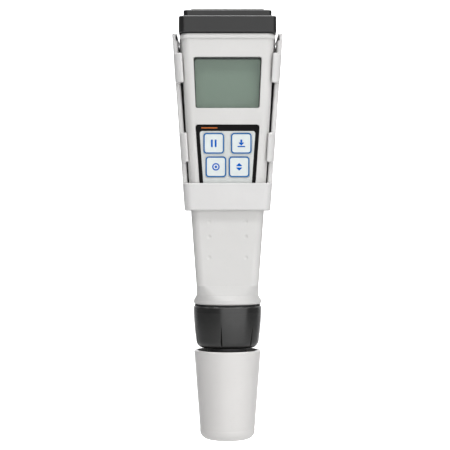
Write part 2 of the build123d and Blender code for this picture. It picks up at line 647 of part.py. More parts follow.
with BuildPart() as cap_seal_ring:
    with BuildSketch(SIDE):
        with Locations((7.65, 27.5)):
            Circle(0.9)
    revolve(axis=PEN_AXIS)
finish_piece(cap_seal_ring, "cap_seal_ring")

# ---------------------------------------------------------------- screw collar
with BuildPart() as collar:
    with BuildSketch(SIDE):
        with BuildLine():
            Line((8.4, COLLAR_LOW_H), (10.9, COLLAR_LOW_H))
            ThreePointArc((10.9, COLLAR_LOW_H), (12.15, 38.2), (12.8, 39.9))
            ThreePointArc((12.8, 39.9), (13.4, 45.0), (COLLAR_R, 51.5))
            Polyline((COLLAR_R, 51.5), (COLLAR_R, COLLAR_HIGH_H - 0.35), (COLLAR_R - 0.35, COLLAR_HIGH_H),
                     (COLLAR_BORE_R, COLLAR_HIGH_H), (COLLAR_BORE_R, COLLAR_SHELF_H),
                     (8.4, COLLAR_SHELF_H), (8.4, COLLAR_LOW_H))
        make_face()
    revolve(axis=PEN_AXIS)
    with BuildLine():
        bore_helix = Helix(pitch=THREAD_PITCH, height=THREAD_LENGTH, radius=COLLAR_BORE_R - 0.075,
                           center=PEN.offset(THREAD_START_H - THREAD_PITCH / 2).origin)
    with BuildSketch(Plane(origin=bore_helix @ 0, x_dir=(1, 0, 0), z_dir=bore_helix % 0)):
        Trapezoid(1.87, 0.75, 60, rotation=90)
    sweep(path=bore_helix, is_frenet=True)
    # six finger flutes that deepen downwards
    for place in range(6):
        turn = Rotation(0, 0, 259.5 + 60 * place)
        outward = (turn * Location((2.0, 0, 10.0))).position
        along = (turn * Location((0, 1, 0))).position
        root = (turn * Location((11.5, 0, 0))).position
        foot = PEN.offset(COLLAR_LOW_H - 0.2).origin + root
        with BuildSketch(Plane(origin=foot, x_dir=along, z_dir=outward)):
            Polygon((0, 0), (-2.6, -2.2), (1.0, -2.2), align=None)
        extrude(amount=13, mode=Mode.SUBTRACT)
finish_piece(collar, "collar")

with BuildPart() as collar_washer:
    with BuildSketch(SIDE):
        ring_profile(8.5, 11.0, COLLAR_SHELF_H + 0.05, COLLAR_SHELF_H + 0.45)
    revolve(axis=PEN_AXIS)
finish_piece(collar_washer, "collar_washer")

# ---------------------------------------------------------------- storage cap
with BuildPart() as storage_cap:
    with BuildSketch(SIDE):
        with BuildLine():
            Line((0, 0), (8.5, 0))
            ThreePointArc((8.5, 0), (10.3, 1.1), (SCAP_FOOT_R, SCAP_FOOT_H))
            Polyline((SCAP_FOOT_R, SCAP_FOOT_H), (SCAP_RIM_R, SCAP_RIM_H - 0.3),
                     (SCAP_RIM_R - 0.3, SCAP_RIM_H), (SCAP_RIM_R - SCAP_WALL, SCAP_RIM_H), (10.0, 8.2),
                     (SCAP_CUP_R + 0.9, 8.2),
                     (SCAP_CUP_R + 0.9, 30.0), (SCAP_CUP_R + 0.6, 30.0), (SCAP_CUP_R, 29.2),
                     (SCAP_CUP_R, 2.6), (0, 2.6), (0, 0))
        make_face()
    revolve(axis=PEN_AXIS)
finish_piece(storage_cap, "storage_cap")

with BuildPart() as storage_sponge:
    with BuildSketch(SIDE):
        ring_profile(0, SCAP_CUP_R - 0.2, 2.7, 7.9)
    revolve(axis=PEN_AXIS)
finish_piece(storage_sponge, "storage_sponge")

# ---------------------------------------------------------------- wall holder


def holder_half_width(height):
    """Half of the holder's outer width at a height above the pen's foot."""
    rise = (height - BAND_LOW_H) / (RAIL_TOP_H - BAND_LOW_H)
    return HOLDER_LOW_HALF_W + rise * (HOLDER_TOP_HALF_W - HOLDER_LOW_HALF_W)


def holder_block(inset, front, back, low_h, high_h, front_r=0.0, back_r=0.0):
    """Tapered block with its sides inset from the outside of the holder.

    front and back are (gap, follow): a gap from the pen's own face where follow is 1,
    or a fixed distance from the pen's axis where it is 0.
    """
    low_w, high_w = holder_half_width(low_h) - inset, holder_half_width(high_h) - inset
    front_low, front_high = (front[0] + front[1] * half_depth(h) for h in (low_h, high_h))
    back_low, back_high = (back[0] + back[1] * half_depth(h) for h in (low_h, high_h))
    with BuildPart() as block:
        with BuildSketch(FRONT):
            Polygon((-low_w, low_h), (low_w, low_h), (high_w, high_h), (-high_w, high_h), align=None)
        extrude(amount=40, both=True)
        with BuildSketch(SIDE):
            Polygon((-front_low, low_h), (back_low, low_h), (back_high, high_h),
                    (-front_high, high_h), align=None)
        extrude(amount=40, both=True, mode=Mode.INTERSECT)
        uprights = block.edges().filter_by(lambda e: abs(e.tangent_at(0.5).Z) > 0.9)
        if front_r:
            fillet(uprights.group_by(Axis.Y)[0], front_r)
        if back_r:
            fillet(uprights.group_by(Axis.Y)[-1], back_r)
    return block.part


LIP_BACK, LIP_FRONT, BAND_FRONT = (-1.55, 1), (0.45, 1), (2.4, 1)
RAIL_FRONT, WALL_FACE, PEN_BACK = (11.5, 0), (-PEN_Y, 0), (HOLDER_GAP, 1)

rail_block = holder_block(0, RAIL_FRONT, WALL_FACE, BAND_LOW_H, RAIL_TOP_H, back_r=1.6)
rail_pocket = holder_block(HOLDER_WALL, (20, 0), PEN_BACK, BAND_LOW_H - 1, RAIL_TOP_H + 1)
with BuildPart() as rails:
    add(rail_block)
    add(rail_pocket, mode=Mode.SUBTRACT)
    # the thick back plate stops below the lip bead of the housing
    with BuildSketch(FRONT):
        with Locations((0, PLATE_STEP_H + 5)):
            Rectangle(2 * (HOLDER_TOP_HALF_W - HOLDER_WALL) - 0.3, 10)
    extrude(amount=-30, mode=Mode.SUBTRACT)
    rail_tops = rails.edges().filter_by(lambda e: e.length > 20).group_by(Axis.Z)[-1]
    fillet(rail_tops, 0.7)
    rail_fronts = rails.edges().filter_by(lambda e: e.length > 50).group_by(Axis.Y)[0]
    fillet(rail_fronts, 0.7)

band_block = holder_block(0, BAND_FRONT, (0, 0), BAND_LOW_H, BAND_HIGH_H, front_r=3.4)
band_pocket = holder_block(HOLDER_WALL, (HOLDER_GAP, 1), (5, 0), BAND_LOW_H - 1, BAND_HIGH_H + 1,
                           front_r=1.4)
with BuildPart() as band:
    add(band_block)
    outside = band.edges().filter_by(lambda e: e.center().Y < PEN_Y - 1).group_by(Axis.Z)
    fillet(outside[0] + outside[-1], 0.6)
    add(band_pocket, mode=Mode.SUBTRACT)


def is_lip_tip(edge):
    """True for the upright edges at the free end of a lip."""
    tip_x = LIP_TIP_LOW + LIP_TIP_SLOPE * (edge.center().Z - FOOT_Z - LOWER_LIPS_H[0])
    return edge.length > 9 and abs(edge.tangent_at(0.5).Z) > 0.9 and abs(abs(edge.center().X) - tip_x) < 0.2


lip_pocket = holder_block(HOLDER_WALL, LIP_BACK, (5, 0), BAND_HIGH_H, RAIL_TOP_H)
lip_pairs = []
for low, high in (LOWER_LIPS_H, UPPER_LIPS_H):
    lip_block = holder_block(0, LIP_FRONT, (0, 0), low, high, front_r=3.0)
    with BuildPart() as lips:
        add(lip_block)
        outside = lips.edges().filter_by(lambda e: e.center().Y < PEN_Y - 1).group_by(Axis.Z)
        fillet(outside[0] + outside[-1], 0.5)
        add(lip_pocket, mode=Mode.SUBTRACT)
        with BuildSketch(FRONT):
            Polygon((-LIP_TIP_LOW, LOWER_LIPS_H[0]), (LIP_TIP_LOW, LOWER_LIPS_H[0]),
                    (LIP_TIP_HIGH, UPPER_LIPS_H[1]), (-LIP_TIP_HIGH, UPPER_LIPS_H[1]), align=None)
        extrude(amount=30, mode=Mode.SUBTRACT)
        fillet(lips.edges().filter_by(is_lip_tip), 0.6)
    lip_pairs.append(lips.part)

with BuildPart() as holder:
    add(rails.part)
    add(band.part)
    for pair in lip_pairs:
        add(pair)
    # relief for the lip bead of the housing
    with BuildSketch(FRONT):
        for side in (-1, 1):
            with Locations((side * 20.2, 161.2)):
                Rectangle(1.2, 2.0)
    extrude(amount=30, both=True, mode=Mode.SUBTRACT)
    # thin top of the back plate, behind the bead and the battery cap
    with BuildSketch(WALL_VIEW):
        with Locations((0, FOOT_Z + PLATE_TOP_H - 5)):
            RectangleRounded(2 * (HOLDER_TOP_HALF_W - HOLDER_WALL), 10, 2.0)
    extrude(amount=PLATE_THIN)
    # two holes for wall screws, with room for their heads behind the pen
    for height in (-SCREW_SPACING / 2, SCREW_SPACING / 2):
        with BuildSketch(WALL_VIEW):
            with Locations((0, height)):
                Circle(SCREW_R)
        extrude(amount=8, mode=Mode.SUBTRACT)
        with BuildSketch(WALL_VIEW.offset(PLATE_THIN)):
            with Locations((0, height)):
                Circle(2 * SCREW_R)
        extrude(amount=8, mode=Mode.SUBTRACT)
finish_piece(holder, "holder")
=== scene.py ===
"""Visual model of the pH test pen in its wall holder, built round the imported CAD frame."""
import json
import math

import bpy
from mathutils import Matrix, Vector


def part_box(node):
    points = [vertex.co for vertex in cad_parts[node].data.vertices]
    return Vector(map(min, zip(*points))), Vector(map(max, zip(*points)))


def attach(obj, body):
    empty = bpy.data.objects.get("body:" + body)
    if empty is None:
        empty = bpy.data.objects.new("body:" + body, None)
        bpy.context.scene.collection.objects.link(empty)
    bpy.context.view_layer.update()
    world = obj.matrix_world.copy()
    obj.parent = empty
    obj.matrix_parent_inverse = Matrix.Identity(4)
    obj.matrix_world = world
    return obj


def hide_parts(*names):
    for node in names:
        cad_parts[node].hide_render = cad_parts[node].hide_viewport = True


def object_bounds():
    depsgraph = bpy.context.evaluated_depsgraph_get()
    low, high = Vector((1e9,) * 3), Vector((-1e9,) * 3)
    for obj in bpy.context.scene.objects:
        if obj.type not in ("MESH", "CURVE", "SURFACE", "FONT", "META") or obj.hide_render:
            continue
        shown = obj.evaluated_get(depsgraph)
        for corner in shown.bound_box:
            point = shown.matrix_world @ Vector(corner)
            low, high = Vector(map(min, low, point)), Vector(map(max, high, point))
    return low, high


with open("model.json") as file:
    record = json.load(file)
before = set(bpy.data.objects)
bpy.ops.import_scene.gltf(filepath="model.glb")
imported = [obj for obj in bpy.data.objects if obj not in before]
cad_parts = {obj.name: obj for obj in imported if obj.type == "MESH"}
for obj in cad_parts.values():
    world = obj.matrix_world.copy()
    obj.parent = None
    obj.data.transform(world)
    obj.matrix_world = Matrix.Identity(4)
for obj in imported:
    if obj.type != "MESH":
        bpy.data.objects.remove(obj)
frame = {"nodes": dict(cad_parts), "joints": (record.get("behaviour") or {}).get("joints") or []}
cad_low, cad_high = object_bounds()
NODES = frame["nodes"]
MM = 0.001
EDGE_REACH = 0.6 * MM                  # how far rubbed-edge paling and the painted edge highlight spread from a plastic edge


# ---------------------------------------------------------------- small helpers
def linear(r, g, b):
    """Linear colour from 0-255 display values."""
    def one(v):
        v /= 255
        return v / 12.92 if v <= 0.04045 else ((v + 0.055) / 1.055) ** 2.4
    return (one(r), one(g), one(b), 1.0)


def node(tree, kind, at, **values):
    """New shader node; each value goes to the input of that name, or else to the node's setting."""
    n = tree.nodes.new(kind)
    n.location = at
    for key, value in values.items():
        if key in n.inputs:
            n.inputs[key].default_value = value
        else:
            setattr(n, key, value)
    return n


def new_material(name):
    mat = bpy.data.materials.new(name)
    mat.use_nodes = True
    tree = mat.node_tree
    shader = tree.nodes["Principled BSDF"]
    return mat, tree, shader


def noise(tree, coord, scale, detail, at, rough=0.5):
    n = node(tree, "ShaderNodeTexNoise", at, Scale=scale, Detail=detail, Roughness=rough)
    tree.links.new(coord, n.inputs["Vector"])
    return n.outputs["Fac"]


def ranged(tree, value, low, high, at, from_low=0.3, from_high=0.7):
    n = node(tree, "ShaderNodeMapRange", at)
    n.inputs["From Min"].default_value = from_low
    n.inputs["From Max"].default_value = from_high
    n.inputs["To Min"].default_value = low
    n.inputs["To Max"].default_value = high
    tree.links.new(value, n.inputs["Value"])
    return n.outputs["Result"]


def mixed(tree, factor, a, b, at):
    """Colour mix by a factor socket; a and b are colours or output sockets."""
    n = node(tree, "ShaderNodeMix", at, data_type="RGBA")
    tree.links.new(factor, n.inputs[0])
    for socket, value in ((n.inputs[6], a), (n.inputs[7], b)):
        if hasattr(value, "is_linked"):
            tree.links.new(value, socket)
        else:
            socket.default_value = value
    return n.outputs[2]


def shade(colour, k):
    return (colour[0] * k, colour[1] * k, colour[2] * k, 1.0)


def bumped(tree, shader, heights):
    """Chains (height socket, strength, distance) bumps into the shader's normal."""
    last = None
    for i, (height, strength, distance) in enumerate(heights):
        b = node(tree, "ShaderNodeBump", (180 * i - 300, -400), Strength=strength, Distance=distance)
        tree.links.new(height, b.inputs["Height"])
        if last:
            tree.links.new(last, b.inputs["Normal"])
        last = b.outputs["Normal"]
    tree.links.new(last, shader.inputs["Normal"])


def moulded_plastic(name, colour, rough=(0.34, 0.46), grain=4200, grain_depth=0.000012, edge_wear_and_highlight=0.12,
                    cloud=0.05, specular=0.5, edge_wear_and_highlight_gain=1.35, dents=()):
    """Injection-moulded plastic: fine spark texture, slow cloudiness, handling shine, and paled edges that
    are partly rubbed wear and partly a painted highlight.

    The edge gain is how much paler an edge is, for rubbed wear and, on the dark plastics, as a painted
    highlight. dents are points where the moulding has sunk a little, given for one side of the middle and
    mirrored to the other.
    """
    mat, tree, shader = new_material(name)
    coord = node(tree, "ShaderNodeTexCoord", (-1400, 0)).outputs["Object"]
    slow = noise(tree, coord, 55, 3, (-1200, 300))
    dull, pale = shade(colour, 1 - cloud), shade(colour, 1 + cloud * 0.6)
    tone = mixed(tree, ranged(tree, slow, 0, 1, (-1000, 300)), dull, pale, (-800, 300))
    speck = noise(tree, coord, 1900, 2, (-1200, 100))
    tone = mixed(tree, ranged(tree, speck, 0, 0.35, (-1000, 100), 0.62, 0.75), tone, shade(colour, 0.86),
                 (-600, 300))
    near_edge = node(tree, "ShaderNodeAmbientOcclusion", (-1200, -120), samples=4, inside=True,
                     Distance=EDGE_REACH)
    edge_breakup = noise(tree, coord, 420, 4, (-1200, -420))
    edge = node(tree, "ShaderNodeMath", (-800, -160), operation="MULTIPLY")
    edge_wear_and_highlight_mask = ranged(tree, near_edge.outputs["AO"], edge_wear_and_highlight, 0.0, (-1000, -300), 0.80, 0.99)
    tree.links.new(edge_wear_and_highlight_mask, edge.inputs[0])
    tree.links.new(ranged(tree, edge_breakup, 0.2, 1.0, (-1000, -420), 0.35, 0.65), edge.inputs[1])
    # mix towards the paler edge colour: rubbed wear, and a painted highlight where the edge mix is strong
    tone = mixed(tree, edge.outputs[0], tone, shade(colour, edge_wear_and_highlight_gain), (-400, 300))
    tree.links.new(tone, shader.inputs["Base Color"])
    smudge = noise(tree, coord, 130, 5, (-1200, -600), 0.6)
    handled = ranged(tree, smudge, rough[0], rough[1], (-800, -600), 0.1, 0.9)
    tree.links.new(handled, shader.inputs["Roughness"])
    shader.inputs["Specular IOR Level"].default_value = specular
    fine = noise(tree, coord, grain, 2, (-800, -780))
    ripple = noise(tree, coord, 160, 1, (-800, -960))
    layers = [(ripple, 0.25, 0.00004), (fine, 0.35, grain_depth)]
    if dents:
        layers.append((sunk(tree, coord, dents), 1.0, 0.0002))
    bumped(tree, shader, layers)
    return mat


def sunk(tree, coord, dents):
    """Height that dips round each dent, mirrored left and right."""
    mirror = node(tree, "ShaderNodeVectorMath", (-1200, -1100), operation="ABSOLUTE")
    tree.links.new(coord, mirror.inputs[0])
    height = None
    for i, dent in enumerate(dents):
        away = node(tree, "ShaderNodeVectorMath", (-1000, -1100 - 160 * i), operation="DISTANCE")
        tree.links.new(mirror.outputs[0], away.inputs[0])
        away.inputs[1].default_value = [abs(v) for v in dent]
        dip = ranged(tree, away.outputs["Value"], 0, 1, (-800, -1100 - 160 * i), 0.0002, 0.0010)
        if height is None:
            height = dip
            continue
        both = node(tree, "ShaderNodeMath", (-600, -1100 - 160 * i), operation="MULTIPLY")
        tree.links.new(height, both.inputs[0])
        tree.links.new(dip, both.inputs[1])
        height = both.outputs[0]
    return height


def rubber(name, colour, rough=(0.6, 0.8)):
    mat, tree, shader = new_material(name)
    coord = node(tree, "ShaderNodeTexCoord", (-1200, 0)).outputs["Object"]
    dust = noise(tree, coord, 600, 5, (-1000, 200), 0.65)
    tone = mixed(tree, ranged(tree, dust, 0, 1, (-800, 200), 0.4, 0.8), colour, shade(colour, 1.6),
                 (-600, 200))
    tree.links.new(tone, shader.inputs["Base Color"])
    tree.links.new(ranged(tree, dust, rough[0], rough[1], (-800, -50)), shader.inputs["Roughness"])
    fine = noise(tree, coord, 5200, 2, (-800, -300))
    bumped(tree, shader, [(fine, 0.4, 0.00002)])
    return mat


def metal(name, colour, rough=(0.18, 0.36), brush=None):
    """Plated or drawn metal; brush stretches the grain along one axis."""
    mat, tree, shader = new_material(name)
    coord = node(tree, "ShaderNodeTexCoord", (-1400, 0)).outputs["Object"]
    if brush:
        mapping = node(tree, "ShaderNodeMapping", (-1200, 0))
        mapping.inputs["Scale"].default_value = brush
        tree.links.new(coord, mapping.inputs["Vector"])
        coord = mapping.outputs["Vector"]
    grain = noise(tree, coord, 3000, 3, (-1000, 0))
    stain = noise(tree, coord, 240, 4, (-1000, 250), 0.6)
    tone = mixed(tree, ranged(tree, stain, 0, 1, (-800, 250), 0.4, 0.75), colour, shade(colour, 0.72),
                 (-600, 250))
    tree.links.new(tone, shader.inputs["Base Color"])
    tree.links.new(ranged(tree, grain, rough[0], rough[1], (-800, 0)), shader.inputs["Roughness"])
    shader.inputs["Metallic"].default_value = 1.0
    bumped(tree, shader, [(grain, 0.25, 0.000008)])
    return mat


def clear(name, colour, alpha, rough=0.04):
    """Clear moulding seen through: mostly see-through, with its own gloss, haze and faint scuffs."""
    mat, tree, shader = new_material(name)
    coord = node(tree, "ShaderNodeTexCoord", (-1200, 0)).outputs["Object"]
    scuff = noise(tree, coord, 900, 6, (-1000, 0), 0.7)
    tree.links.new(ranged(tree, scuff, rough, rough + 0.12, (-800, 0), 0.5, 0.8), shader.inputs["Roughness"])
    tone = mixed(tree, ranged(tree, scuff, 0, 1, (-800, 200), 0.55, 0.8), colour, shade(colour, 1.1),
                 (-600, 200))
    tree.links.new(tone, shader.inputs["Base Color"])
    tree.links.new(ranged(tree, scuff, alpha, alpha * 1.35, (-800, -200), 0.55, 0.8), shader.inputs["Alpha"])
    ripple = noise(tree, coord, 90, 1, (-800, -400))
    bumped(tree, shader, [(ripple, 0.1, 0.00003)])
    return mat


def printed_film(name, colour, rough=(0.3, 0.4), emboss=0.000006, specular=0.5):
    """Screen-printed membrane film: velvet texture, ink density changes, faint dirt specks."""
    mat, tree, shader = new_material(name)
    coord = node(tree, "ShaderNodeTexCoord", (-1200, 0)).outputs["Object"]
    ink = noise(tree, coord, 260, 4, (-1000, 200), 0.55)
    tone = mixed(tree, ranged(tree, ink, 0, 1, (-800, 200)), shade(colour, 0.95), shade(colour, 1.03),
                 (-600, 200))
    dirt = noise(tree, coord, 1500, 3, (-1000, 400))
    tone = mixed(tree, ranged(tree, dirt, 0, 0.3, (-800, 400), 0.62, 0.78), tone, shade(colour, 0.82),
                 (-400, 300))
    tree.links.new(tone, shader.inputs["Base Color"])
    tree.links.new(ranged(tree, ink, rough[0], rough[1], (-800, -50)), shader.inputs["Roughness"])
    shader.inputs["Specular IOR Level"].default_value = specular
    cells = node(tree, "ShaderNodeTexVoronoi", (-1000, -300), Scale=7000)
    tree.links.new(coord, cells.inputs["Vector"])
    bumped(tree, shader, [(cells.outputs["Distance"], 0.3, emboss)])
    return mat


def paint(name, finish):
    """Gives a CAD node its finished material in place of the frame's."""
    for slot in NODES[name].material_slots:
        slot.material = finish


# ---------------------------------------------------------------- the sloping front face
INWARD = Vector(next(j["axis"] for j in frame["joints"] if j["name"] == "hold_key_press")).normalized()
OUT = -INWARD
RIGHT = Vector((1, 0, 0))
UP_FACE = OUT.cross(RIGHT)
pad_low, pad_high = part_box("keypad_overlay")
FACE_TOP = Vector((0, pad_low.y, pad_high.z))     # top edge of the membrane, on the face


def on_face(x, up, proud):
    """Point on the front face: x across, up from the membrane's top edge, proud of the face."""
    return FACE_TOP + RIGHT * x + UP_FACE * up + OUT * proud


# three faint sink marks down each side of the lower body
SINK_MARKS = [on_face(7.3 * MM, up * MM, 0) for up in (-38.5, -44.5, -52.8)]

# ---------------------------------------------------------------- materials
BODY = moulded_plastic("body_light_grey", linear(210, 209, 207), edge_wear_and_highlight=0.10, cloud=0.025, dents=SINK_MARKS)
HOLDER = moulded_plastic("holder_light_grey", linear(212, 211, 210), rough=(0.30, 0.42), edge_wear_and_highlight=0.14,
                         cloud=0.03)
# the cap and collar edges are paled fully as a painted highlight along their fillets
CAP_DARK = moulded_plastic("cap_dark_grey", linear(26, 26, 26), rough=(0.26, 0.36), edge_wear_and_highlight=1.0, cloud=0.08,
                           edge_wear_and_highlight_gain=3.0)
COLLAR_DARK = moulded_plastic("collar_dark_grey", linear(22, 22, 21), rough=(0.20, 0.28), edge_wear_and_highlight=1.0,
                              cloud=0.08, specular=0.7, edge_wear_and_highlight_gain=2.5)
STORAGE = moulded_plastic("storage_cap_grey", linear(216, 214, 212), rough=(0.26, 0.36), edge_wear_and_highlight=0.12,
                          cloud=0.03)
FRAME_BLACK = moulded_plastic("black_plastic", linear(18, 18, 18), edge_wear_and_highlight=0.4, specular=0.3)
PEN_GREY = moulded_plastic("electrode_grey", linear(72, 72, 72), rough=(0.3, 0.42))
WINDOW = clear("window_clear", linear(150, 165, 155), 0.05)
GLASS = clear("electrode_glass", linear(215, 235, 228), 0.3, 0.02)
BLACK_FILM = printed_film("film_black", linear(10, 9, 9), rough=(0.42, 0.55), specular=0.1)
SILVER_FILM = printed_film("film_silver", linear(203, 206, 204), rough=(0.34, 0.46))
KEY_FACE = printed_film("film_key", linear(216, 223, 222), rough=(0.32, 0.44))
BLUE_INK = printed_film("ink_blue", linear(14, 96, 160), rough=(0.42, 0.55), specular=0.2)
SYMBOL_INK = printed_film("ink_symbol_blue", linear(0, 92, 186), rough=(0.42, 0.55), specular=0.1)
ORANGE_INK = printed_film("ink_orange", linear(196, 104, 38), rough=(0.42, 0.55), specular=0.3)
RUBBER = rubber("black_rubber", linear(16, 16, 17))
SILICONE = rubber("grey_silicone", linear(196, 196, 192), rough=(0.45, 0.6))
STEEL = metal("screw_steel", linear(180, 180, 182))
CELL = metal("cell_nickel", linear(205, 205, 207), brush=(1, 1, 0.05))
SPRING = metal("contact_nickel", linear(202, 194, 170))
BRASS = metal("gilded_brass", linear(212, 172, 88))
SILVER = metal("silver_wire", linear(196, 193, 188), brush=(1, 1, 0.1))


def lcd_material():
    """Unlit reflective panel: grey-green with silky polariser grain and a slow patchy tone."""
    mat, tree, shader = new_material("lcd_panel")
    base = linear(108, 126, 112)
    coord = node(tree, "ShaderNodeTexCoord", (-1200, 0)).outputs["Object"]
    grain = noise(tree, coord, 2600, 3, (-1000, 200))
    slow = noise(tree, coord, 70, 2, (-1000, 400))
    tone = mixed(tree, ranged(tree, slow, 0, 1, (-800, 400)), shade(base, 0.96), shade(base, 1.03),
                 (-600, 400))
    tone = mixed(tree, ranged(tree, grain, 0, 0.5, (-800, 200), 0.5, 0.8), tone, shade(base, 0.93),
                 (-400, 300))
    tree.links.new(tone, shader.inputs["Base Color"])
    tree.links.new(ranged(tree, grain, 0.28, 0.4, (-800, 0)), shader.inputs["Roughness"])
    bumped(tree, shader, [(grain, 0.15, 0.000004)])
    return mat


def board_material():
    """Solder mask with tinned tracks showing under it."""
    mat, tree, shader = new_material("circuit_board")
    coord = node(tree, "ShaderNodeTexCoord", (-1400, 0)).outputs["Object"]
    brick = node(tree, "ShaderNodeTexBrick", (-1100, 200), Scale=330.0)
    brick.inputs["Color1"].default_value = linear(26, 84, 46)
    brick.inputs["Color2"].default_value = linear(30, 96, 52)
    brick.inputs["Mortar"].default_value = linear(58, 128, 74)
    brick.inputs["Mortar Size"].default_value = 0.03
    tree.links.new(coord, brick.inputs["Vector"])
    cloud = noise(tree, coord, 220, 4, (-1100, -100))
    tone = mixed(tree, ranged(tree, cloud, 0, 0.4, (-900, -100)), brick.outputs["Color"], linear(20, 66, 38),
                 (-600, 200))
    tree.links.new(tone, shader.inputs["Base Color"])
    tree.links.new(ranged(tree, cloud, 0.2, 0.35, (-900, -300)), shader.inputs["Roughness"])
    bumped(tree, shader, [(brick.outputs["Fac"], 0.3, 0.00002)])
    return mat


def sponge_material():
    mat, tree, shader = new_material("damp_sponge")
    base = linear(222, 206, 140)
    coord = node(tree, "ShaderNodeTexCoord", (-1200, 0)).outputs["Object"]
    pores = node(tree, "ShaderNodeTexVoronoi", (-1000, 0), Scale=1600)
    tree.links.new(coord, pores.inputs["Vector"])
    # pore hollows darkened as painted shade
    pore_shade = ranged(tree, pores.outputs["Distance"], 0, 1, (-800, 100), 0.0, 0.5)
    tone = mixed(tree, pore_shade, shade(base, 0.45), base, (-600, 100))
    tree.links.new(tone, shader.inputs["Base Color"])
    shader.inputs["Roughness"].default_value = 0.85
    bumped(tree, shader, [(pores.outputs["Distance"], 1.0, 0.0002)])
    return mat


def zebra_material():
    """Alternate carbon and clear layers of a conductive strip."""
    mat, tree, shader = new_material("zebra_rubber")
    coord = node(tree, "ShaderNodeTexCoord", (-1200, 0)).outputs["Object"]
    wave = node(tree, "ShaderNodeTexWave", (-1000, 0), Scale=900.0, Distortion=0.3)
    tree.links.new(coord, wave.inputs["Vector"])
    tone = mixed(tree, wave.outputs["Fac"], linear(30, 30, 32), linear(190, 180, 176), (-600, 0))
    tree.links.new(tone, shader.inputs["Base Color"])
    shader.inputs["Roughness"].default_value = 0.6
    return mat


LCD, BOARD, SPONGE, ZEBRA = lcd_material(), board_material(), sponge_material(), zebra_material()
CERAMIC = moulded_plastic("junction_ceramic", linear(232, 228, 216), rough=(0.6, 0.8), edge_wear_and_highlight=0.0)
CHIP = moulded_plastic("component_black", linear(32, 32, 34), rough=(0.4, 0.55), edge_wear_and_highlight=0.1)

for names, finish in (
    (("housing",), BODY),
    (("holder",), HOLDER),
    (("battery_cap",), CAP_DARK),
    (("collar",), COLLAR_DARK),
    (("storage_cap",), STORAGE),
    (("electrode_body",), PEN_GREY),
    (("lcd_window",), WINDOW),
    (("lcd_glass",), LCD),
    (("glass_stem", "glass_bulb"), GLASS),
    (("main_pcb",), BOARD),
    (("board_components",), CHIP),
    (("chassis", "battery_holder", "electrode_socket", "lcd_frame"), FRAME_BLACK),
    (("cap_gasket", "foot_gasket", "electrode_o_ring", "cap_seal_ring", "collar_washer"), RUBBER),
    (("key_mat",), SILICONE),
    (("board_screws", "cap_screws", "temperature_sensor", "tact_switches"), STEEL),
    (("button_cells",), CELL),
    (("battery_contacts", "battery_link"), SPRING),
    (("socket_pins", "electrode_contacts"), BRASS),
    (("silver_wires",), SILVER),
    (("reference_junction",), CERAMIC),
    (("storage_sponge",), SPONGE),
    (("zebra_strips",), ZEBRA),
    (("hold_key", "store_key", "cal_key", "scroll_key", "power_key"), KEY_FACE),
):
    for name in names:
        paint(name, finish)

# ---------------------------------------------------------------- flat printed pieces
def face_matrix(proud):
    columns = (RIGHT, UP_FACE, OUT, on_face(0, 0, proud))
    return Matrix([[columns[c][r] for c in range(4)] for r in range(3)] + [[0, 0, 0, 1]])


def rounded(points, radius, steps=8):
    """Closed outline with every corner rounded."""
    out = []
    count = len(points)
    for i in range(count):
        p, a, b = (Vector(points[k % count]) for k in (i, i - 1, i + 1))
        to_a, to_b = (a - p).normalized(), (b - p).normalized()
        half = to_a.angle(to_b) / 2
        back = radius / math.tan(half)
        centre = p + (to_a + to_b).normalized() * (radius / math.sin(half))
        start, end = p + to_a * back - centre, p + to_b * back - centre
        sweep = start.angle_signed(end)
        for s in range(steps + 1):
            spun = start.copy()
            spun.rotate(Matrix.Rotation(-sweep * s / steps, 2))
            out.append(centre + spun)
    return out


def box_outline(cx, cy, w, h, radius):
    return rounded([(cx - w / 2, cy - h / 2), (cx + w / 2, cy - h / 2), (cx + w / 2, cy + h / 2),
                    (cx - w / 2, cy + h / 2)], radius)


def as_mesh(name, source, matrix, material):
    """Mesh object made from a curve object, placed by a matrix."""
    bpy.context.view_layer.update()
    depsgraph = bpy.context.evaluated_depsgraph_get()
    mesh = bpy.data.meshes.new_from_object(source.evaluated_get(depsgraph))
    bpy.data.objects.remove(source)
    mesh.transform(matrix)
    mesh.materials.clear()
    mesh.materials.append(material)
    obj = bpy.data.objects.new(name, mesh)
    bpy.context.scene.collection.objects.link(obj)
    return obj


def sheet_piece(name, outlines, thickness, proud, material, body):
    """Flat piece on the front face, cut to outlines (the first outside, the rest holes)."""
    curve = bpy.data.curves.new(name + "_cut", "CURVE")
    curve.dimensions = "2D"
    curve.fill_mode = "BOTH"
    curve.extrude = thickness / 2
    for outline in outlines:
        spline = curve.splines.new("POLY")
        spline.points.add(len(outline) - 1)
        for point, at in zip(spline.points, outline):
            point.co = (at[0], at[1], 0, 1)
        spline.use_cyclic_u = True
    source = bpy.data.objects.new(name + "_cut", curve)
    bpy.context.scene.collection.objects.link(source)
    obj = as_mesh(name, source, face_matrix(proud - thickness / 2), material)
    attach(obj, body)
    return obj


# ---------------------------------------------------------------- membrane
PAD_TAPER = 0.0697                     # half width lost per unit of height
pad_top_half = pad_high.x
pad_length = (pad_high.z - pad_low.z) / UP_FACE.z
PAD_THICK = 0.45 * MM
PAD_R, FIELD_R, HOLE_R = 1.2 * MM, 1.0 * MM, 1.4 * MM
BORDER_TOP, BORDER_SIDE, BORDER_LOW = 2.6 * MM, 1.45 * MM, 1.4 * MM


def pad_outline(top, bottom, side, radius):
    """Tapered outline inset from the membrane's edge."""
    w_top = pad_top_half - PAD_TAPER * top - side
    w_low = pad_top_half - PAD_TAPER * (pad_length - bottom) - side
    low_edge = bottom - pad_length
    return rounded([(-w_low, low_edge), (w_low, low_edge), (w_top, -top), (-w_top, -top)], radius)


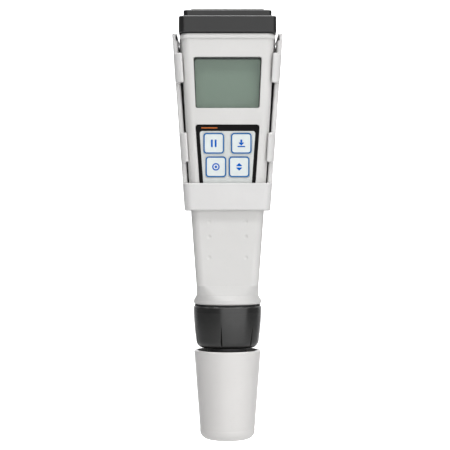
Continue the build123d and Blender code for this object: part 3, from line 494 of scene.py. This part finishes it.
KEYS = ("hold_key", "store_key", "cal_key", "scroll_key", "power_key")
KEY_FLANGE = 0.6 * MM                  # both sides of the hidden flange together
KEY_GAP = 0.1 * MM
KEY_PROUD = 0.2 * MM


def key_seat(name):
    """(x, up) of a key's middle on the face, and its face size."""
    low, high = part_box(name)
    middle = (low + high) / 2 - FACE_TOP
    width = high.x - low.x - KEY_FLANGE
    height = (high.z - low.z) / UP_FACE.z - KEY_FLANGE
    return middle.x, middle.dot(UP_FACE), width, height


field_holes = [box_outline(x, up, w + 2 * KEY_GAP, h + 2 * KEY_GAP, HOLE_R)
               for x, up, w, h in map(key_seat, KEYS)]
field_outline = pad_outline(BORDER_TOP, BORDER_LOW, BORDER_SIDE, FIELD_R)
border = sheet_piece("keypad_border", [pad_outline(0, 0, 0, PAD_R), field_outline], PAD_THICK, 0,
                     BLACK_FILM, "pen")
field = sheet_piece("keypad_field", [field_outline] + field_holes, PAD_THICK, 0, SILVER_FILM, "pen")
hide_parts("keypad_overlay")
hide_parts("keypad_overlay")

# ---------------------------------------------------------------- printing on the keys
INK = 0.03 * MM
RING_INSET, RING_LINE = 0.12 * MM, 0.52 * MM
RING_OUTER_R, RING_INNER_R = 1.25 * MM, 0.8 * MM
SYMBOL_H, STROKE, CORNER = 3.0 * MM, 0.75 * MM, 0.15 * MM
STRIPE_X, STRIPE_UP, STRIPE_W, STRIPE_H = -7.2 * MM, -1.35 * MM, 6.4 * MM, 0.4 * MM


def circle(radius, steps=32):
    turns = [math.tau * s / steps for s in range(steps)]
    return [(radius * math.cos(turn), radius * math.sin(turn)) for turn in turns]


def triangle(middle, half_width, half_height):
    """Pointing up, or down where half_height is negative."""
    base, tip = middle - half_height, middle + half_height
    corners = [(-half_width, base), (half_width, base), (0, tip)]
    return rounded(corners if half_height > 0 else corners[::-1], CORNER)


# plain symbols about the middle of a key: wait, put by, aim, up and down
two_bars = [box_outline(side * STROKE, 0, STROKE, SYMBOL_H, CORNER) for side in (-1, 1)]
arrow_stem = box_outline(0, 0.31 * SYMBOL_H, STROKE, 0.38 * SYMBOL_H, CORNER)
arrow_head = triangle(-0.10 * SYMBOL_H, 0.42 * SYMBOL_H, -0.21 * SYMBOL_H)
floor_bar = box_outline(0, -0.42 * SYMBOL_H, SYMBOL_H, 0.16 * SYMBOL_H, CORNER)
tray = [arrow_stem, arrow_head, floor_bar]
target = [circle(SYMBOL_H / 2), circle(SYMBOL_H / 2 - 0.7 * STROKE), circle(0.7 * STROKE)]
up_down = [triangle(side * 0.3 * SYMBOL_H, 0.45 * SYMBOL_H, side * 0.22 * SYMBOL_H) for side in (-1, 1)]
SYMBOLS = {"hold_key": two_bars, "store_key": tray, "cal_key": target, "scroll_key": up_down}

for name in KEYS:
    x, up, w, h = key_seat(name)
    outer, inner = 2 * RING_INSET, 2 * (RING_INSET + RING_LINE)
    ring = [box_outline(x, up, w - outer, h - outer, RING_OUTER_R),
            box_outline(x, up, w - inner, h - inner, RING_INNER_R)]
    sheet_piece(name + "_outline", ring, INK, KEY_PROUD + INK, BLUE_INK, name)
    if name in SYMBOLS:
        placed = [[(x + point[0], up + point[1]) for point in outline] for outline in SYMBOLS[name]]
        sheet_piece(name + "_symbol", placed, INK, KEY_PROUD + INK, SYMBOL_INK, name)
# plain orange line in the top border
stripe_outline = box_outline(STRIPE_X, STRIPE_UP, STRIPE_W, STRIPE_H, CORNER)
sheet_piece("keypad_stripe", [stripe_outline], INK, INK, ORANGE_INK, "pen")

# ---------------------------------------------------------------- floor, light and camera
FLOOR_Z = cad_low.z - 0.23
FLOOR_FRONT, FLOOR_HALF = -2.0, 1.6
WALL_Y, WALL_TOP = 1.3, 1.2
BEND, BEND_STEPS = 0.4, 12
profile = [(FLOOR_FRONT, FLOOR_Z), (WALL_Y - BEND, FLOOR_Z)]
for step in range(1, BEND_STEPS + 1):
    turn = math.radians(90 * step / BEND_STEPS)
    profile.append((WALL_Y - BEND + BEND * math.sin(turn), FLOOR_Z + BEND * (1 - math.cos(turn))))
profile.append((WALL_Y, WALL_TOP))
count = len(profile)
floor_mesh = bpy.data.meshes.new("floor")
floor_mesh.from_pydata([(x, y, z) for x in (-FLOOR_HALF, FLOOR_HALF) for y, z in profile], [],
                       [(i, i + 1, count + i + 1, count + i) for i in range(count - 1)])
for poly in floor_mesh.polygons:
    poly.use_smooth = True
floor = bpy.data.objects.new("floor", floor_mesh)
bpy.context.scene.collection.objects.link(floor)
# white sheet whose own glow fades outwards from behind the object
floor_mat, tree, shader = new_material("floor_white")
shader.inputs["Base Color"].default_value = (0.88, 0.88, 0.88, 1)
shader.inputs["Roughness"].default_value = 0.8
shader.inputs["Emission Color"].default_value = (1, 1, 1, 1)
coord = node(tree, "ShaderNodeTexCoord", (-900, 0)).outputs["Object"]
away = node(tree, "ShaderNodeVectorMath", (-700, 0), operation="DISTANCE")
tree.links.new(coord, away.inputs[0])
away.inputs[1].default_value = (0, WALL_Y, -0.04)
glow = ranged(tree, away.outputs["Value"], 1.3, 0.1, (-500, 0), 0.45, 0.75)
tree.links.new(glow, shader.inputs["Emission Strength"])
floor_mesh.materials.append(floor_mat)

world = bpy.data.worlds.new("studio")
bpy.context.scene.world = world
world.use_nodes = True
world.node_tree.nodes["Background"].inputs[0].default_value = (0.97, 0.98, 1.0, 1)
world.node_tree.nodes["Background"].inputs[1].default_value = 0.22


def softbox(name, azimuth, elevation, distance, size, radiance, gloss_only=False):
    """Rectangular soft light seen from the object at an azimuth (0 in front) and elevation.

    An elevation past 90 leans over to the back. A gloss_only light shows in reflections alone.
    """
    az, el = math.radians(azimuth), math.radians(elevation)
    aim = Vector((0, -0.02, -0.04))
    toward = Vector((math.sin(az) * math.cos(el), -math.cos(az) * math.cos(el), math.sin(el)))
    place = aim + distance * toward
    light = bpy.data.lights.new(name, "AREA")
    light.shape = "RECTANGLE"
    light.size, light.size_y = size
    light.energy = radiance * math.pi * size[0] * size[1]
    obj = bpy.data.objects.new(name, light)
    obj.location = place
    obj.rotation_mode = "QUATERNION"
    obj.rotation_quaternion = (aim - place).to_track_quat("-Z", "Y")
    obj.visible_diffuse = not gloss_only
    bpy.context.scene.collection.objects.link(obj)


softbox("front_light", 23, 5, 1.0, (2.0, 1.05), 1.35)
softbox("top_light", 8, 80, 0.9, (1.0, 0.5), 0.25)
softbox("strip_light", 4, 60, 1.0, (1.3, 0.2), 7.0)
softbox("glint_light", 0, 102, 0.8, (1.0, 0.55), 11.0, gloss_only=True)
softbox("back_light", 160, 40, 1.0, (0.8, 0.5), 0.6)

collar_low, collar_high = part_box("collar")
PEN_AXIS_Y = (collar_low.y + collar_high.y) / 2
SUBJECT = 0.550                        # camera to pen axis
EYE_X = -0.0010
EYE_HEIGHT = 0.0867                    # above the foot of the storage cap
VIEW_SPAN = 0.1831                     # seen at the pen axis
SENSOR = 36
camera_data = bpy.data.cameras.new("camera")
camera_data.sensor_width = SENSOR
camera_data.lens = SENSOR * SUBJECT / VIEW_SPAN
camera = bpy.data.objects.new("camera", camera_data)
camera.location = (EYE_X, PEN_AXIS_Y - SUBJECT, cad_low.z + EYE_HEIGHT)
camera.rotation_euler = (math.radians(90), 0, 0)
bpy.context.scene.collection.objects.link(camera)
bpy.context.scene.camera = camera
bpy.context.scene.view_settings.view_transform = "Standard"
